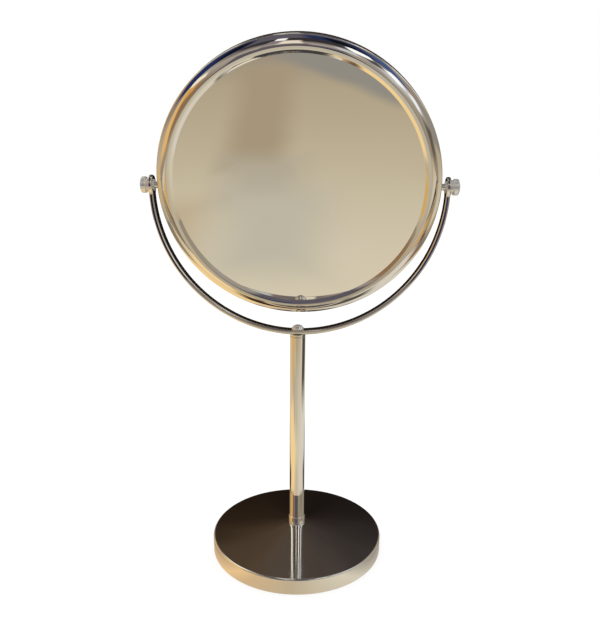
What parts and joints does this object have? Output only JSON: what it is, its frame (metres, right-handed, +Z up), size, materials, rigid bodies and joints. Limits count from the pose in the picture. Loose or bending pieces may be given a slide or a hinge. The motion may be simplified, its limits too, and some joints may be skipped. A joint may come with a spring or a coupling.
{
  "type": "shaving mirror",
  "caption": "Chrome two-sided round shaving mirror in a semicircular yoke with thumb knobs, on a telescopic stem and a round weighted base.",
  "frame": {"origin": "centre of the resting face, on the table under the stem's axis", "axes": "+Z up along the stem; -Y towards the person who looks into the plain glass; +X to that person's right, along the pivot axis"},
  "size_m": [0.1926, 0.115, 0.3279],
  "materials": {
    "chrome_base": "bright chrome plate on pressed steel, faint wiping marks",
    "chrome_stem": "bright chrome plate on drawn tube",
    "chrome_yoke": "bright chrome plate on bent strip",
    "chrome_rim": "bright chrome plate on rolled strip",
    "chrome_knob": "bright chrome plate on turned brass",
    "chrome_fastener": "bright chrome plate",
    "mirror_plain": "silvered plain glass",
    "mirror_magnifying": "silvered magnifying glass",
    "cast_weight": "rough casting",
    "pad_rubber": "fine-grained foam rubber",
    "zinc_steel": "bright zinc plate",
    "bush_nylon": "natural nylon",
    "board": "grey board",
    "frame_plastic": "black moulded plastic",
    "brass_insert": "machined brass"
  },
  "bodies": {
    "stand": {"base_cover": "chrome_base", "base_weight": "cast_weight", "base_pad": "pad_rubber", "base_bolt": "zinc_steel", "base_washer": "zinc_steel", "foot_collar": "chrome_stem", "stem_foot_plug": "zinc_steel", "stem_outer_tube": "chrome_stem", "stem_guide_bush": "bush_nylon"},
    "mast": {"inner_tube": "chrome_stem", "inner_tube_slider": "bush_nylon", "stem_head": "chrome_stem", "yoke_washer": "zinc_steel", "yoke_screw": "chrome_fastener"},
    "cradle": {"yoke": "chrome_yoke"},
    "mirror_head": {"rim_hoop": "chrome_rim", "front_bezel": "chrome_rim", "rear_bezel": "chrome_rim", "front_glass": "mirror_plain", "rear_glass": "mirror_magnifying", "divider_disc": "board", "inner_frame": "frame_plastic", "left_insert": "brass_insert", "right_insert": "brass_insert", "left_spacer": "chrome_fastener", "right_spacer": "chrome_fastener", "left_friction_washer": "bush_nylon", "right_friction_washer": "bush_nylon"},
    "knob_left": {"left_knob": "chrome_knob", "left_stud": "zinc_steel"},
    "knob_right": {"right_knob": "chrome_knob", "right_stud": "zinc_steel"}
  },
  "joints": [
    {"name": "stem_extend", "type": "slide", "parent": "stand", "child": "mast", "axis": [0, 0, 1], "range_m": [0, 0.08]},
    {"name": "yoke_swivel", "type": "hinge", "parent": "mast", "child": "cradle", "pos_m": [0, 0, 0.154], "axis": [0, 0, 1], "continuous": true},
    {"name": "mirror_tilt", "type": "hinge", "parent": "cradle", "child": "mirror_head", "pos_m": [0, 0, 0.245], "axis": [1, 0, 0], "continuous": true},
    {"name": "left_knob_turn", "type": "hinge", "parent": "mirror_head", "child": "knob_left", "pos_m": [-0.0965, 0, 0.245], "axis": [-1, 0, 0], "range_deg": [0, 180]},
    {"name": "right_knob_turn", "type": "hinge", "parent": "mirror_head", "child": "knob_right", "pos_m": [0.0965, 0, 0.245], "axis": [1, 0, 0], "range_deg": [0, 180]}
  ]
}
